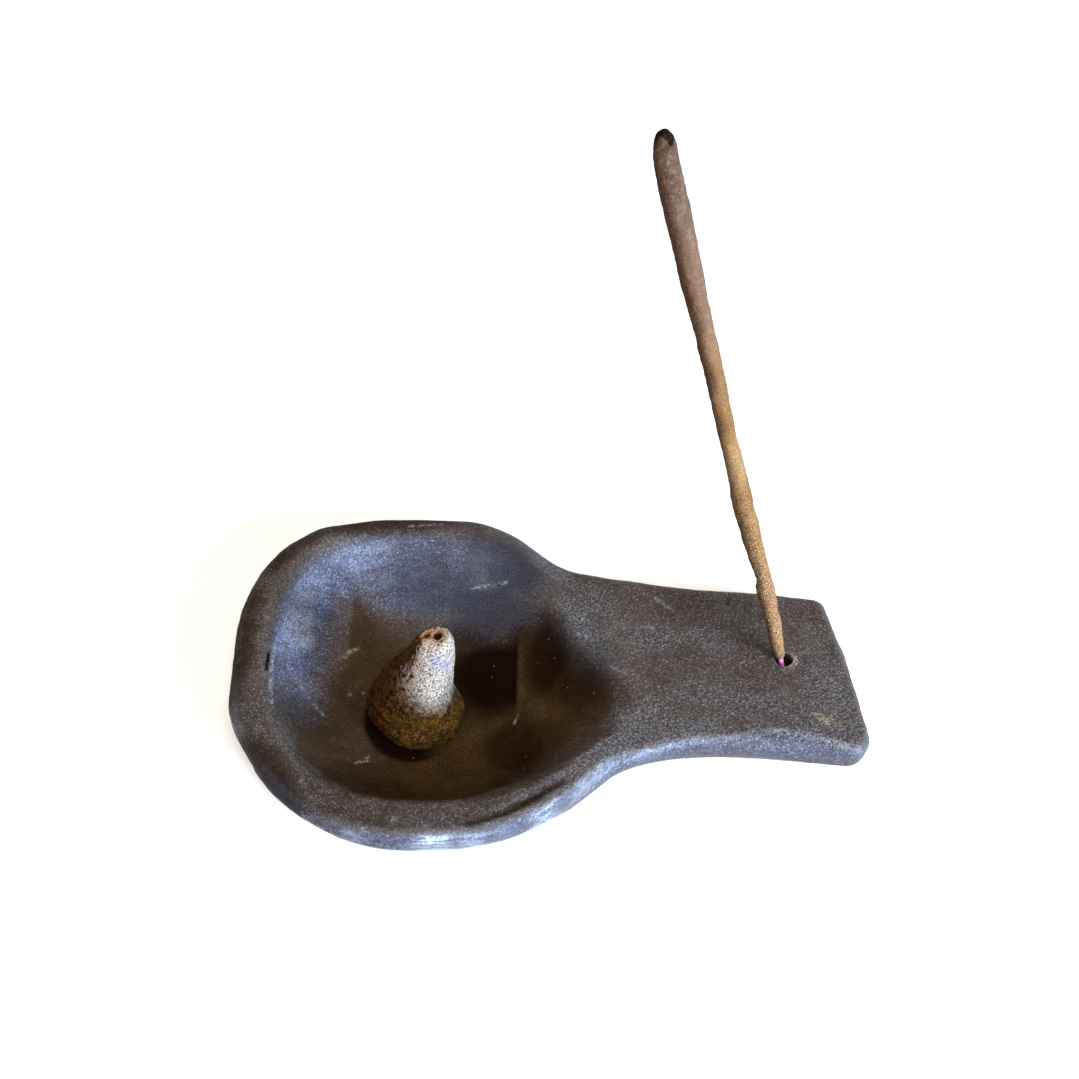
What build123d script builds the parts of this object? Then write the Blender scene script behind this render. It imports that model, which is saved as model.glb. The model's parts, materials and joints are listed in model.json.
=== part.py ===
from build123d import *
import math
import os

# Incense burner: a spoon-shaped clay dish that holds an incense stick and an incense cone.
# Millimetres. Z is up and the table is z = 0. The origin is on the table under the middle of
# the bowl, +X points along the handle, and the bowl's near side is -Y.

# --- dish -----------------------------------------------------------------------------------
rim_height = 13.0        # top of the bowl's rim above the table
handle_thickness = 7.0   # the flat handle lies on the table
rim_falls_from = 15.0    # the rim starts to fall towards the handle this far along, and
rim_falls_to = 37.0      # has reached the handle's height here, both at the middle line
fall_skew = 15.0         # degrees: the far side falls nearer to the bowl than the near side
floor_height = 4.4       # top of the bowl's floor
far_corner = 2.6         # the two corners at the handle's end, seen from above
near_corner = 3.4
edge_round = 1.5         # outer edge of the rim and upper edge of the handle
lip_round = 1.6          # inner edge of the rim
floor_round = 8.0        # between the floor and the inner wall

# The outline seen from above, from the handle's far end corner round the bowl to the near one.
# The clay was pressed by hand, so the far side is flatter than the rest and the near side bulges.
outline = [
    (82.4, 21.0), (68.0, 23.0), (53.0, 24.5), (43.0, 26.5), (34.0, 29.0), (27.2, 31.7),
    (21.2, 35.2), (12.8, 37.8), (3.0, 38.8), (-8.0, 39.2), (-18.0, 38.0), (-26.4, 34.6),
    (-32.4, 28.8), (-35.9, 20.6), (-37.1, 10.2), (-36.4, -1.0), (-35.0, -10.6), (-31.0, -19.1),
    (-25.2, -26.9), (-16.9, -33.1), (-8.0, -36.9), (3.0, -38.0), (12.8, -36.8), (22.0, -33.6),
    (30.0, -28.6), (36.4, -22.3), (43.0, -17.5), (52.0, -14.8), (63.0, -14.8), (74.0, -15.8),
    (85.6, -17.0),
]
end_bulge = (84.7, 2.0)  # the handle's end bows out a little
# How far the outline draws in at each height: first round the bowl, then along the handle.
side_levels = [
    (0.0, 8.0, 0.8), (2.5, 4.4, 0.1), (5.5, 1.5, 0.0), (9.0, 0.0, 0.0),
    (rim_height + 0.6, 0.9, 0.4),
]

# The hollow's outline at each height, from the handle's side round by the far side. It is nearly
# as square as the bowl outside, and towards the handle it opens into a long shallow ramp.
hollow_levels = [
    (floor_height, [
        (18.6, 0.0), (17.4, 8.0), (13.0, 12.5), (4.0, 14.2), (-7.0, 17.5), (-14.0, 18.5),
        (-17.3, 12.0), (-17.8, 0.0), (-16.5, -10.0), (-11.0, -17.0), (-1.5, -20.0), (9.5, -18.0),
        (15.5, -12.0), (18.3, -5.5)]),
    (7.2, [
        (33.5, 1.0), (28.5, 12.5), (20.0, 22.0), (5.0, 25.0), (-9.0, 26.0), (-19.0, 23.5),
        (-23.5, 13.0), (-23.5, 0.0), (-21.5, -11.0), (-14.5, -20.5), (-1.5, -25.3), (14.0, -24.0),
        (27.0, -18.5), (38.0, -9.0)]),
    (10.2, [
        (46.0, 2.0), (35.0, 16.0), (23.5, 27.0), (6.0, 30.3), (-10.0, 31.0), (-22.5, 27.5),
        (-28.0, 14.5), (-27.5, 0.0), (-24.6, -12.2), (-16.5, -22.8), (-2.0, -28.2), (15.5, -26.8),
        (29.5, -20.8), (48.0, -12.0)]),
    (rim_height + 0.8, [
        (58.0, 3.0), (42.0, 20.0), (24.0, 30.5), (7.0, 35.8), (-10.5, 35.7), (-25.5, 31.3),
        (-31.0, 16.0), (-30.8, 0.0), (-27.2, -13.5), (-18.2, -26.0), (-3.0, -31.8), (16.5, -30.4),
        (31.0, -25.4), (58.0, -15.0)]),
]

# --- stick ----------------------------------------------------------------------------------
hole_x, hole_y = 71.7, 4.5
hole_diameter = 3.4
hole_depth = 5.6         # it stops short of the underside
stick_lean = 16.4        # degrees from upright, towards the bowl
core_diameter = 1.05
core_end_x = 72.6        # middle of the splint's lower end, just clear of the hole's wall
core_end_z = 1.75
core_length = 117.0
# The paste, rolled on by hand: distance along the splint from its lower end, how far the
# paste's middle is from the splint's, and the paste's radius.
paste_sections = [
    (6.4, 0.00, 0.80), (7.0, 0.00, 1.00), (9.0, 0.00, 1.20), (12.0, 0.10, 1.36),
    (16.0, 0.20, 1.48), (22.0, 0.22, 1.58), (27.0, 0.18, 1.64), (29.5, 0.20, 1.58),
    (32.5, 0.25, 1.38), (37.0, 0.00, 1.52), (43.0, -0.15, 1.70), (50.0, -0.30, 1.78),
    (57.0, -0.20, 1.72), (66.0, -0.33, 1.46), (75.0, -0.22, 1.48), (85.0, -0.18, 1.55),
    (92.0, -0.18, 1.64), (99.0, -0.18, 1.84), (104.0, -0.15, 1.92), (110.0, -0.12, 1.80),
    (116.0, 0.00, 1.72), (118.4, 0.15, 1.50), (119.8, 0.26, 1.12), (120.6, 0.30, 0.70),
]
paste_tip_round = 0.4

# --- cone -----------------------------------------------------------------------------------
cone_x, cone_y = -1.0, -7.3
cone_gap = 0.05          # keeps the cone's base clear of the floor
# Height above the base, shift of the section's middle along X, half length, half width.
cone_sections = [
    (0.0, 1.4, 7.5, 7.7), (1.5, 1.0, 8.5, 8.6), (4.0, 0.4, 9.2, 9.0), (6.5, 0.4, 8.9, 8.5),
    (10.0, 0.8, 7.5, 7.2), (15.5, 2.6, 5.5, 5.3), (20.0, 4.3, 4.0, 4.1), (23.2, 5.1, 3.2, 3.3),
    (24.4, 5.3, 2.2, 2.3),
]


def blend(x):
    """1 round the bowl, 0 along the handle, and smooth between."""
    t = min(max((52 - x) / (52 - 18), 0.0), 1.0)
    return t * t * (3 - 2 * t)


def drawn_in(bowl_inset, handle_inset):
    """The outline, drawn in towards the bowl's middle and the handle's middle line."""
    points = []
    for x, y in outline:
        share = blend(x)
        inset = share * bowl_inset + (1 - share) * handle_inset
        aim_x, aim_y = x * (1 - share), hole_y * (1 - share)
        step = inset / math.hypot(aim_x - x, aim_y - y)
        points.append((x + step * (aim_x - x) - handle_inset * (x > 75), y + step * (aim_y - y)))
    return points


with BuildPart() as dish:
    # The side wall: the outline bellies out from the table and draws in again at the rim.
    for height, bowl_inset, handle_inset in side_levels:
        with BuildSketch(Plane.XY.offset(height)) as section:
            with BuildLine():
                side = Spline(*drawn_in(bowl_inset, handle_inset))
                ThreePointArc(side @ 1, (end_bulge[0] - handle_inset, end_bulge[1]), side @ 0)
            make_face()
            fillet(section.vertices().sort_by(Axis.Y)[0], near_corner)
            fillet(section.vertices().sort_by(Axis.Y)[-1], far_corner)
    loft()
    # The profile from the side: the rim falls to the handle in a soft step.
    with BuildSketch(Plane.XZ.rotated((0, 0, fall_skew))) as profile:
        with BuildLine():
            Polyline((rim_falls_to, handle_thickness), (95, handle_thickness), (95, -1),
                     (-50, -1), (-50, rim_height), (rim_falls_from, rim_height))
            Spline((rim_falls_from, rim_height), (rim_falls_to, handle_thickness),
                   tangents=[(1, 0), (1, 0)])
        make_face()
    extrude(amount=70, both=True, mode=Mode.INTERSECT)
    fillet(dish.edges().filter_by(lambda e: e.bounding_box().min.Z > 6), edge_round)
    # The hollow, with a rounded floor edge and lip.
    for height, points in hollow_levels:
        with BuildSketch(Plane.XY.offset(height)):
            with BuildLine():
                Spline(*points, periodic=True)
            make_face()
    loft(mode=Mode.SUBTRACT)
    rims = dish.edges(Select.LAST)
    fillet(rims.filter_by(lambda e: e.bounding_box().max.Z > floor_height + 0.1), lip_round)
    fillet(dish.edges().filter_by(
        lambda e: abs(e.bounding_box().min.Z - floor_height) < 0.01
        and abs(e.bounding_box().max.Z - floor_height) < 0.01), floor_round)
    # The stick hole, straight down and blind.
    with Locations((hole_x, hole_y, handle_thickness)):
        Hole(hole_diameter / 2, depth=hole_depth)

lean = math.radians(stick_lean)
along = Plane(origin=(core_end_x, hole_y, core_end_z), x_dir=(0, 1, 0),
              z_dir=(-math.sin(lean), 0, math.cos(lean)))

with BuildPart() as stick_core:
    with BuildSketch(along):
        Circle(core_diameter / 2)
    extrude(amount=core_length)

with BuildPart() as stick_paste:
    for distance, shift, radius in paste_sections:
        with BuildSketch(along.offset(distance)):
            with Locations((0, -shift)):
                Circle(radius)
    loft()
    fillet(stick_paste.edges().sort_by(Axis.Z)[-1], paste_tip_round)
    with BuildSketch(along):
        Circle(core_diameter / 2)
    extrude(amount=core_length, mode=Mode.SUBTRACT)

with BuildPart() as incense_cone:
    for height, shift, half_length, half_width in cone_sections:
        with BuildSketch(Plane.XY.offset(floor_height + cone_gap + height)):
            with Locations((cone_x + shift, cone_y)):
                Ellipse(half_length, half_width)
    loft()

os.makedirs("parts", exist_ok=True)
dish.part.label = "dish"
stick_core.part.label = "stick_core"
stick_paste.part.label = "stick_paste"
incense_cone.part.label = "incense_cone"
export_step(dish.part, "parts/dish.step")
export_step(stick_core.part, "parts/stick_core.step")
export_step(stick_paste.part, "parts/stick_paste.step")
export_step(incense_cone.part, "parts/incense_cone.step")
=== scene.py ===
import itertools
import json
import math

import bmesh
import bpy
import numpy as np
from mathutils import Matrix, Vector
from mathutils.bvhtree import BVHTree


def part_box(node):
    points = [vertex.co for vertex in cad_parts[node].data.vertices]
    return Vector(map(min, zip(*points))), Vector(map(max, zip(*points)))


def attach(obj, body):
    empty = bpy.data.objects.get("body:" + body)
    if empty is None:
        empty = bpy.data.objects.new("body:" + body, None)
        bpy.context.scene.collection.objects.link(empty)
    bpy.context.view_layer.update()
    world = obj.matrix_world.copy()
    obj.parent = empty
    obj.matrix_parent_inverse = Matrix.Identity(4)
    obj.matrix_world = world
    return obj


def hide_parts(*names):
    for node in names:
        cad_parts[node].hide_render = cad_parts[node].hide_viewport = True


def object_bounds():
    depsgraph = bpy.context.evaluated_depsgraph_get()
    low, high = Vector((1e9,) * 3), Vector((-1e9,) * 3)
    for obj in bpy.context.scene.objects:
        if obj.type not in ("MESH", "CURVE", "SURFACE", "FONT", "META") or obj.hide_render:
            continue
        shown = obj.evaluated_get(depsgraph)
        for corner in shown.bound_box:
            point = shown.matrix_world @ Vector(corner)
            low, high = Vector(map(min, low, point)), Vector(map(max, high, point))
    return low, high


# Incense burner: a hand-pressed clay dish, a hand-rolled incense stick and a moulded cone.
# Shapes are worked out in millimetres, in the CAD frame, and stored in metres.

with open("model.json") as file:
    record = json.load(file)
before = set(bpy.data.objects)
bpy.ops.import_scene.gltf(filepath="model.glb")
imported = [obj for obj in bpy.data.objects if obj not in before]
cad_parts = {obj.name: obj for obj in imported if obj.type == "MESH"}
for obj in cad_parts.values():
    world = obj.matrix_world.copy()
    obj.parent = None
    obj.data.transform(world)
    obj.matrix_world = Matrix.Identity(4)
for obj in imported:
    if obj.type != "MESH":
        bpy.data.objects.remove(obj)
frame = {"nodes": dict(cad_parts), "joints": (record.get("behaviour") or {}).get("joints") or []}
cad_low, cad_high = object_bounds()
MM = 0.001
SHARP_ANGLE = math.radians(60)    # edges that turn more than this stay crisp


# --- numbers and noise ---
def smooth(low, high, value):
    """0 below low, 1 above high, and a soft step between."""
    t = np.clip((value - low) / (high - low), 0, 1)
    return t * t * (3 - 2 * t)


def hump(gap, width):
    """1 in the middle of a mark, 0.37 at width from it, and 0 further out."""
    return np.exp(-(gap / width) ** 2)


def ends(along, start, end):
    """Fades a line's mark in up to start and out from end, as shares of its length."""
    return smooth(0, start, along) * smooth(1, end, along)


def lumps(points, size, seed):
    """Smooth random lumps from -1 to 1, each about size mm across."""
    side = 48                   # the lumps repeat after this many
    table = np.random.default_rng(seed).uniform(-1, 1, (side, side, side))
    grid = points / np.asarray(size, float)
    cell = np.floor(grid).astype(int)
    t = grid - cell
    t = t * t * t * (t * (6 * t - 15) + 10)
    total = np.zeros(len(points))
    for corner in itertools.product((0, 1), repeat=3):
        share = np.prod(np.where(corner, t, 1 - t), axis=1)
        total += share * table[tuple(((cell + corner) % side).T)]
    return total


def to_line(points, path):
    """Each point's distance from a line of points, and how far along the line it is, 0 to 1."""
    path = np.asarray(path, float)
    points = points[:, : path.shape[1]]
    steps = np.linalg.norm(np.diff(path, axis=0), axis=1)
    marks = np.concatenate([[0], np.cumsum(steps)])
    best = np.full(len(points), 1e9)
    along = np.zeros(len(points))
    for a, b, step, mark in zip(path[:-1], path[1:], steps, marks):
        t = np.clip(((points - a) @ (b - a)) / step ** 2, 0, 1)
        gap = np.linalg.norm(points - (a + t[:, None] * (b - a)), axis=1)
        near = gap < best
        best[near] = gap[near]
        along[near] = (mark + t[near] * step) / marks[-1]
    return best, along


def outside(points, polygon):
    """Signed distance from a polygon seen from above: negative inside it."""
    gap, _ = to_line(points, polygon + polygon[:1])
    inside = np.zeros(len(points), bool)
    x, y = points[:, 0], points[:, 1]
    for (x0, y0), (x1, y1) in zip(polygon, polygon[1:] + polygon[:1]):
        crosses = (y0 > y) != (y1 > y)
        inside ^= crosses & (x < (x1 - x0) * (y - y0) / (y1 - y0 + 1e-12) + x0)
    return np.where(inside, -gap, gap)


# --- meshes ---
def linked(name, mesh):
    """An object with this mesh, in the scene."""
    piece = bpy.data.objects.new(name, mesh)
    bpy.context.scene.collection.objects.link(piece)
    return piece


def get_points(mesh):
    """The mesh's points, in mm."""
    flat = np.zeros(len(mesh.vertices) * 3)
    mesh.vertices.foreach_get("co", flat)
    return flat.reshape(-1, 3) / MM


def set_points(mesh, points):
    """Moves the mesh's points to places given in mm."""
    mesh.vertices.foreach_set("co", (points * MM).ravel())
    mesh.update()


def get_normals(mesh):
    flat = np.zeros(len(mesh.vertices) * 3)
    mesh.vertex_normals.foreach_get("vector", flat)
    return flat.reshape(-1, 3)


def neighbour_mean(mesh, points):
    """The mean place of each point's neighbours."""
    pairs = np.zeros(len(mesh.edges) * 2, int)
    mesh.edges.foreach_get("vertices", pairs)
    a, b = pairs.reshape(-1, 2).T
    count = np.bincount(a, minlength=len(points)) + np.bincount(b, minlength=len(points))
    total = np.stack([
        np.bincount(a, points[b, i], len(points)) + np.bincount(b, points[a, i], len(points))
        for i in range(points.shape[1])], axis=1)
    return total / np.maximum(count, 1)[:, None]


def paint(mesh, name, values):
    """Stores a value for each point, which the piece's material reads."""
    layer = mesh.attributes.new(name, "FLOAT", "POINT")
    layer.data.foreach_set("value", np.clip(values, 0, 1).astype(np.float32))


def applied(piece):
    """Replaces a piece's mesh by the result of its modifiers."""
    graph = bpy.context.evaluated_depsgraph_get()
    result = bpy.data.meshes.new_from_object(piece.evaluated_get(graph))
    piece.modifiers.clear()
    piece.data = result
    return piece


def remeshed(name, node, size, plug=None):
    """A copy of a CAD node in even small faces; plug is (x, y, radius, low, high) in mm."""
    work = bmesh.new()
    work.from_mesh(frame["nodes"][node].data)
    bmesh.ops.remove_doubles(work, verts=work.verts, dist=1e-6)
    if plug:
        x, y, radius, low, high = plug
        made = bmesh.ops.create_cone(
            work, cap_ends=True, segments=32, radius1=radius * MM, radius2=radius * MM,
            depth=(high - low) * MM)
        bmesh.ops.translate(work, verts=made["verts"], vec=Vector((x, y, (low + high) / 2)) * MM)
    mesh = bpy.data.meshes.new(name)
    work.to_mesh(mesh)
    work.free()
    piece = linked(name, mesh)
    change = piece.modifiers.new("remesh", "REMESH")
    change.mode = "VOXEL"
    change.voxel_size = size * MM
    return applied(piece)


def cut(piece, points, faces):
    """Cuts a closed shape, given by its points in mm and its faces, out of a piece."""
    mesh = bpy.data.meshes.new("cutter")
    mesh.from_pydata([tuple(Vector(p) * MM) for p in points], [], faces)
    cutter = linked("cutter", mesh)
    work = bmesh.new()
    work.from_mesh(mesh)
    bmesh.ops.recalc_face_normals(work, faces=work.faces)
    work.to_mesh(mesh)
    work.free()
    change = piece.modifiers.new("cut", "BOOLEAN")
    change.operation = "DIFFERENCE"
    change.solver = "MANIFOLD"
    change.object = cutter
    applied(piece)
    bpy.data.objects.remove(cutter)


def rings(count, sides):
    """Faces that join rows of points into a tube with closed ends: count rows of sides points."""
    faces = [
        (r * sides + s, r * sides + (s + 1) % sides,
         (r + 1) * sides + (s + 1) % sides, (r + 1) * sides + s)
        for r in range(count - 1) for s in range(sides)]
    faces.append(tuple(reversed(range(sides))))
    faces.append(tuple((count - 1) * sides + s for s in range(sides)))
    return faces


def round_turn(sides):
    """Evenly spaced angles once round."""
    return np.arange(sides) / sides * 2 * math.pi


def finished(piece, node, body, slot, *materials):
    """Gives a piece its materials and its place in the frame."""
    mesh = piece.data
    mesh.materials.clear()
    for material in materials:
        mesh.materials.append(material)
    mesh.shade_smooth()
    mesh.set_sharp_from_angle(angle=SHARP_ANGLE)
    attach(piece, body)
    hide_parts(node)


def node_box(node):
    """The two corners of a CAD node's box, in mm."""
    low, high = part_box(node)
    return np.array(low) / MM, np.array(high) / MM


def kept_in_box(points, node):
    """The points, with none past the CAD node's box."""
    return np.clip(points, *node_box(node))


# --- materials ---
CLAY_SPECULAR = 0.22       # burnished clay, and clay under a dull film of soot
SOOT_SPECULAR = 0.01
POWDER_SPECULAR = 0.05     # pressed incense powder


class Shader:
    """A material's node tree, with short calls for the nodes used here. Sizes are in mm."""

    def __init__(self, name):
        self.material = bpy.data.materials.new(name)
        self.material.use_nodes = True
        self.tree = self.material.node_tree
        self.surface = self.tree.nodes["Principled BSDF"]
        place = self.tree.nodes.new("ShaderNodeTexCoord")
        self.place = self.scaled(place.outputs["Object"], (1 / MM, 1 / MM, 1 / MM))

    def put(self, kind, settings=(), **values):
        """Adds a node with its settings and its inputs, by name."""
        node = self.tree.nodes.new(kind)
        for key, value in dict(settings).items():
            setattr(node, key, value)
        for key, value in values.items():
            self.feed(node, key.replace("_", " "), value)
        return node

    def feed(self, node, socket, value):
        """Links a socket's value to an input, or sets a plain one."""
        target = node.inputs[socket]
        if isinstance(value, bpy.types.NodeSocket):
            self.tree.links.new(value, target)
        else:
            target.default_value = value

    def scaled(self, vector, scale):
        node = self.put("ShaderNodeMapping", Vector=vector, Scale=scale)
        return node.outputs["Vector"]

    def painted(self, name):
        """The value that paint() stored on the mesh."""
        return self.put("ShaderNodeAttribute", {"attribute_name": name}).outputs["Fac"]

    def noise(self, size, detail=4.0, roughness=0.55, distortion=0.0, stretch=None):
        """Cloudy noise with lumps about size mm across."""
        vector = self.scaled(self.place, stretch) if stretch else self.place
        node = self.put("ShaderNodeTexNoise", Vector=vector, Scale=1 / size, Detail=detail,
                        Roughness=roughness, Distortion=distortion)
        return node.outputs["Fac"]

    def cells(self, size, feature="F1", stretch=None, warp=0.0):
        """The distance from the nearest of scattered points, about size mm apart."""
        vector = self.scaled(self.place, stretch) if stretch else self.place
        if warp:
            node = self.put("ShaderNodeTexNoise", Vector=vector, Scale=0.6 / size, Detail=2.0)
            moved = self.put("ShaderNodeVectorMath", {"operation": "MULTIPLY_ADD"})
            self.feed(moved, 0, node.outputs["Color"])
            self.feed(moved, 1, (warp, warp, warp))
            self.feed(moved, 2, vector)
            vector = moved.outputs[0]
        node = self.put("ShaderNodeTexVoronoi", {"feature": feature}, Vector=vector,
                        Scale=1 / size)
        return node.outputs["Distance"]

    def calc(self, operation, a, b=0.0, clamp=False):
        node = self.put("ShaderNodeMath", {"operation": operation, "use_clamp": clamp})
        self.feed(node, 0, a)
        self.feed(node, 1, b)
        return node.outputs[0]

    def step(self, value, low, high, out_low=0.0, out_high=1.0):
        """out_low below low, out_high above high, and a soft step between."""
        node = self.put("ShaderNodeMapRange", {"interpolation_type": "SMOOTHSTEP"},
                        Value=value, From_Min=low, From_Max=high, To_Min=out_low,
                        To_Max=out_high)
        return node.outputs["Result"]

    def times(self, *values):
        total = values[0]
        for value in values[1:]:
            total = self.calc("MULTIPLY", total, value)
        return total

    def mixed(self, factor, a, b):
        """Colour a, or b where the factor is 1."""
        node = self.put("ShaderNodeMix", {"data_type": "RGBA"})
        self.feed(node, 0, factor)
        self.feed(node, 6, a)
        self.feed(node, 7, b)
        return node.outputs[2]

    def over(self, colour, coat, *factors):
        """The colour under a coat, 0 to 255, as strong as the product of the factors."""
        return self.mixed(self.times(*factors), colour, rgb(*coat))

    def bumped(self, layers):
        """Chains bump nodes: each layer is (height, distance in mm, strength)."""
        normal = None
        for height, distance, strength in layers:
            node = self.put("ShaderNodeBump", Height=height, Distance=distance * MM,
                            Strength=strength)
            if normal is not None:
                self.feed(node, "Normal", normal)
            normal = node.outputs["Normal"]
        self.feed(self.surface, "Normal", normal)


def rgb(red, green, blue):
    """A screen colour, 0 to 255, as the linear colour that a shader takes."""
    return tuple(
        (c / 12.92 if c <= 0.04045 else ((c + 0.055) / 1.055) ** 2.4)
        for c in (red / 255, green / 255, blue / 255)) + (1.0,)


def clay_material(name, specular):
    s = Shader(name)
    patches = s.noise(12.0, 4.0, 0.5, 0.4)
    mottle = s.noise(2.4, 6.0, 0.65)
    grain = s.noise(0.30, 4.0, 0.75)
    peel = s.cells(0.52, warp=0.9)
    brushed = s.noise(1.0, 5.0, 0.6, 0.3, stretch=(0.14, 1.4, 1.0))
    painted_rim_shade, dark_floor_and_shadow, pale_and_sheen = s.painted("painted_rim_shade"), s.painted("dark_floor_and_shadow"), s.painted("pale_and_sheen")
    soot_and_shade = s.calc("MULTIPLY", s.painted("soot_and_shade"), s.step(mottle, 0.2, 0.65, 1.1, 0.95), True)
    film_and_shade = s.calc("MAXIMUM", s.calc("MAXIMUM", soot_and_shade, dark_floor_and_shadow), s.times(painted_rim_shade, 0.7))
    shade = s.painted("shade")
    clear_of_film_and_shade = s.times(s.step(film_and_shade, 0.0, 1.0, 1.0, 0.20), s.step(shade, 0.0, 0.9, 1.0, 0.60))
    colour = s.mixed(s.step(patches, 0.36, 0.64), rgb(61, 50, 43), rgb(75, 65, 60))
    colour = s.over(colour, (88, 80, 77), s.step(mottle, 0.42, 0.70, 0.0, 0.28))
    colour = s.over(colour, (90, 81, 76), s.step(brushed, 0.50, 0.75, 0.0, 0.20))
    # Painted sheen in pale patches, and the underside rubbed paler where it rests.
    colour = s.over(colour, (100, 98, 102), pale_and_sheen, s.step(mottle, 0.25, 0.6, 0.7, 1.0))
    # Painted shade darkens the rim where it turns from the light; soot, painted shade and darker
    # patches brown the hollow.
    colour = s.over(colour, (34, 23, 12), painted_rim_shade, s.step(mottle, 0.25, 0.7, 1.0, 0.8))
    # Soot, together with painted shade from the rim, browns the hollow's floor.
    soot_and_shade_colour = s.mixed(s.step(patches, 0.35, 0.65), rgb(45, 30, 11), rgb(57, 42, 21))
    soot_and_shade_colour = s.over(soot_and_shade_colour, (68, 53, 30), s.step(mottle, 0.5, 0.75, 0.0, 0.4))
    soot_and_shade_colour = s.over(soot_and_shade_colour, (24, 13, 4), s.step(grain, 0.38, 0.48, 0.6, 0.0))
    soot_and_shade_colour = s.over(soot_and_shade_colour, (88, 70, 46), s.step(grain, 0.54, 0.66, 0.0, 0.6))
    colour = s.mixed(soot_and_shade, colour, soot_and_shade_colour)
    colour = s.over(colour, (14, 4, 1), dark_floor_and_shadow)
    # A painted cool sheen, the window's reflection on the burnished walls, broken up by the grain
    # and finger strokes.
    strokes = s.noise(2.2, 6.0, 0.65, 0.8, stretch=(0.35, 0.9, 0.7))
    grain_breakup = s.step(grain, 0.36, 0.60, 0.45, 1.0)
    painted_cool_sheen = s.times(s.painted("painted_cool_sheen"), s.step(strokes, 0.25, 0.66, 0.65, 1.0), grain_breakup)
    painted_cool_sheen_colour = s.mixed(s.step(strokes, 0.35, 0.70), rgb(50, 62, 93), rgb(88, 101, 136))
    colour = s.mixed(painted_cool_sheen, colour, painted_cool_sheen_colour)
    # Painted highlights on the hollow's walls.
    painted_highlight = s.step(mottle, 0.30, 0.62, 0.4, 1.0)
    colour = s.over(colour, (146, 158, 184), s.painted("painted_highlight"), painted_highlight, grain_breakup)
    # Painted highlight streaks on the near outer wall.
    streaks = s.noise(0.9, 4.0, 0.6, 0.6, stretch=(0.16, 0.6, 1.0))
    streaks = s.step(streaks, 0.44, 0.56, 0.25, 1.0)
    colour = s.over(colour, (206, 218, 236), s.painted("satin"), streaks)
    # Painted shade: where the walls turn away from the light, everything is dimmer.
    dim = s.mixed(soot_and_shade, rgb(20, 23, 36), rgb(22, 9, 2))
    colour = s.mixed(s.times(shade, 0.78), colour, dim)
    # The leathery grain: dark between its lumps, with bright crests painted as glints of light,
    # and rubbed edges.
    deep = s.step(peel, 0.40, 0.72, 0.0, 0.60)
    colour = s.over(colour, (40, 33, 29), deep, s.step(pale_and_sheen, 0.0, 0.5, 0.55, 1.0), clear_of_film_and_shade)
    colour = s.over(colour, (18, 12, 8), s.step(grain, 0.37, 0.47, 0.70, 0.0), clear_of_film_and_shade)
    crest_glints = s.times(s.step(grain, 0.53, 0.63, 0.0, 1.0), s.step(peel, 0.62, 0.30),
                     s.step(pale_and_sheen, 0.0, 0.4, 0.75, 1.0), clear_of_film_and_shade)
    crest_glint_colour = s.mixed(painted_cool_sheen, rgb(146, 142, 142), rgb(172, 184, 208))
    crest_glint_colour = s.over(crest_glint_colour, (66, 72, 94), shade)
    crest_glint_colour = s.over(crest_glint_colour, (72, 56, 36), film_and_shade)
    colour = s.mixed(crest_glints, colour, crest_glint_colour)
    rubbed = s.step(grain, 0.35, 0.6, 0.3, 1.0)
    colour = s.over(colour, (124, 125, 132), s.painted("worn"), rubbed, clear_of_film_and_shade, 0.25)
    scuffed = s.step(s.noise(0.5, 4.0, 0.7), 0.42, 0.56)
    colour = s.over(colour, (150, 136, 114), s.painted("scuff"), scuffed, 0.9)
    scratched = s.step(s.noise(0.8, 3.0), 0.40, 0.58)
    colour = s.over(colour, (158, 158, 162), s.painted("scratch"), scratched, 0.70)
    # Clay specks, lint, dark pits, dye at the hole's mouth, and painted shade in the crack and
    # down the hole.
    specks = s.cells(2.6, stretch=(1.0, 1.15, 1.0))
    colour = s.over(colour, (140, 130, 114), s.step(specks, 0.030, 0.065, 0.7, 0.0))
    lint = s.step(s.cells(0.9), 0.05, 0.12, 0.4, 0.0)
    colour = s.over(colour, (138, 132, 128), lint, clear_of_film_and_shade, clear_of_film_and_shade)
    pits = s.cells(1.7, stretch=(0.9, 1.0, 1.1))
    colour = s.over(colour, (13, 9, 6), s.step(pits, 0.05, 0.10, 0.7, 0.0))
    dyed = s.step(s.noise(0.35, 3.0), 0.50, 0.60)
    colour = s.over(colour, (186, 160, 158), s.painted("dye"), dyed, 0.7)
    colour = s.over(colour, (10, 6, 5), s.painted("crack_and_hole_shade"))
    s.feed(s.surface, "Base Color", colour)
    rough = s.calc("ADD", s.times(mottle, 0.5), s.times(brushed, 0.5))
    rough = s.step(rough, 0.3, 0.7, 0.36, 0.50)
    rough = s.calc("ADD", rough, s.calc("MULTIPLY", soot_and_shade, 0.35), True)
    rough = s.calc("SUBTRACT", rough, s.times(s.painted("sheen"), 0.08), True)
    s.feed(s.surface, "Roughness", rough)
    s.surface.inputs["Specular IOR Level"].default_value = specular
    s.bumped([
        (s.noise(3.2, 3.0, 0.5), 0.30, 0.5),
        (brushed, 0.16, 0.4),
        (s.calc("SUBTRACT", 1.0, peel), 0.30, s.step(pale_and_sheen, 0.0, 0.5, 0.45, 1.0)),
        (grain, 0.26, 0.9),
    ])
    return s.material


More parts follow.
